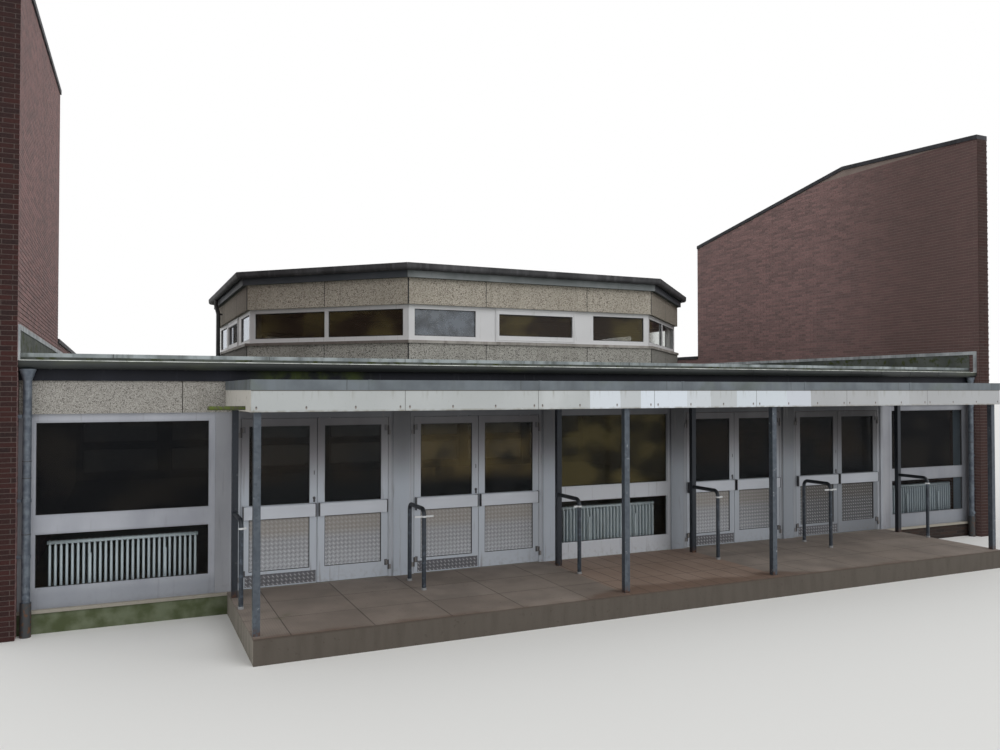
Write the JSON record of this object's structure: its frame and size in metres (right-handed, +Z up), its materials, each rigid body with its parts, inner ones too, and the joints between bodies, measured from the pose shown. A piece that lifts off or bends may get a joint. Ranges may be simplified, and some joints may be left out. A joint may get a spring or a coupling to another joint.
{
  "type": "single-storey school entrance hall with clerestory lantern",
  "caption": "Flat-roofed glazed entrance hall between brick party walls, with an eight-sided clerestory lantern and a post-carried canopy over hinged double doors.",
  "frame": {"origin": "middle of the hall on the level ground under it", "axes": "+X to the right along the front, +Y into the building, +Z up"},
  "size_m": [18.25, 19.16, 9.29],
  "materials": {
    "aggregate": "exposed aggregate",
    "brick": "brown-red brick",
    "concrete": "worn concrete",
    "dark_board": "satin",
    "frame": "anodised",
    "glass": "clear",
    "lantern_white": "satin",
    "radiator": "gloss",
    "rail": "gloss",
    "roofing": "weathered roofing",
    "steel_post": "galvanised",
    "white_board": "weathered paint",
    "zinc": "weathered zinc"
  },
  "bodies": {
    "root": {"canopy_beams": "steel_post", "canopy_deck": "white_board", "canopy_fascia": "white_board", "canopy_flashing": "zinc", "canopy_posts": "steel_post", "door_catches": "lantern_white", "door_heads": "frame", "door_jambs": "frame", "downpipes": "zinc", "drain_spout": "zinc", "eaves_boards": "dark_board", "entrance_landing": "concrete", "facade_piers": "frame", "fascia_panels": "aggregate", "floor_slab": "concrete", "guard_rails": "rail", "gutters": "zinc", "lantern_downpipe": "zinc", "lantern_eaves_board": "zinc", "lantern_frames": "lantern_white", "lantern_glass": "glass", "lantern_gutter": "dark_board", "lantern_lower_panels": "aggregate", "lantern_posts": "lantern_white", "lantern_ring_beams": "concrete", "lantern_roof": "roofing", "lantern_sill": "zinc", "lantern_upper_panels": "aggregate", "party_wall_left": "brick", "party_wall_right": "brick", "plinths": "brick", "radiators": "radiator", "roof_beams": "concrete", "roof_edge_trims": "zinc", "roof_slab": "roofing", "roof_upstands": "roofing", "sills": "concrete", "wall_copings": "dark_board", "wall_flashings": "zinc", "window_frames": "frame", "window_glass": "glass"},
    "door_1_left": {"door_1_left_leaf": "frame", "door_1_left_glass": "glass"},
    "door_1_right": {"door_1_right_leaf": "frame", "door_1_right_glass": "glass"},
    "door_2_left": {"door_2_left_leaf": "frame", "door_2_left_glass": "glass"},
    "door_2_right": {"door_2_right_leaf": "frame", "door_2_right_glass": "glass"},
    "door_3_left": {"door_3_left_leaf": "frame", "door_3_left_glass": "glass"},
    "door_3_right": {"door_3_right_leaf": "frame", "door_3_right_glass": "glass"},
    "door_4_left": {"door_4_left_leaf": "frame", "door_4_left_glass": "glass"},
    "door_4_right": {"door_4_right_leaf": "frame", "door_4_right_glass": "glass"}
  },
  "joints": [
    {"name": "door_1_left_hinge", "type": "hinge", "parent": "root", "child": "door_1_left", "pos_m": [-6.122, -8.222, 1.5], "axis": [0, 0, -1], "range_deg": [0, 90]},
    {"name": "door_1_right_hinge", "type": "hinge", "parent": "root", "child": "door_1_right", "pos_m": [-3.998, -8.222, 1.5], "axis": [0, 0, 1], "range_deg": [0, 90]},
    {"name": "door_2_left_hinge", "type": "hinge", "parent": "root", "child": "door_2_left", "pos_m": [-3.592, -8.222, 1.5], "axis": [0, 0, -1], "range_deg": [0, 90]},
    {"name": "door_2_right_hinge", "type": "hinge", "parent": "root", "child": "door_2_right", "pos_m": [-1.468, -8.222, 1.5], "axis": [0, 0, 1], "range_deg": [0, 90]},
    {"name": "door_3_left_hinge", "type": "hinge", "parent": "root", "child": "door_3_left", "pos_m": [1.468, -8.222, 1.5], "axis": [0, 0, -1], "range_deg": [0, 90]},
    {"name": "door_3_right_hinge", "type": "hinge", "parent": "root", "child": "door_3_right", "pos_m": [3.592, -8.222, 1.5], "axis": [0, 0, 1], "range_deg": [0, 90]},
    {"name": "door_4_left_hinge", "type": "hinge", "parent": "root", "child": "door_4_left", "pos_m": [3.998, -8.222, 1.5], "axis": [0, 0, -1], "range_deg": [0, 90]},
    {"name": "door_4_right_hinge", "type": "hinge", "parent": "root", "child": "door_4_right", "pos_m": [6.122, -8.222, 1.5], "axis": [0, 0, 1], "range_deg": [0, 90]}
  ]
}
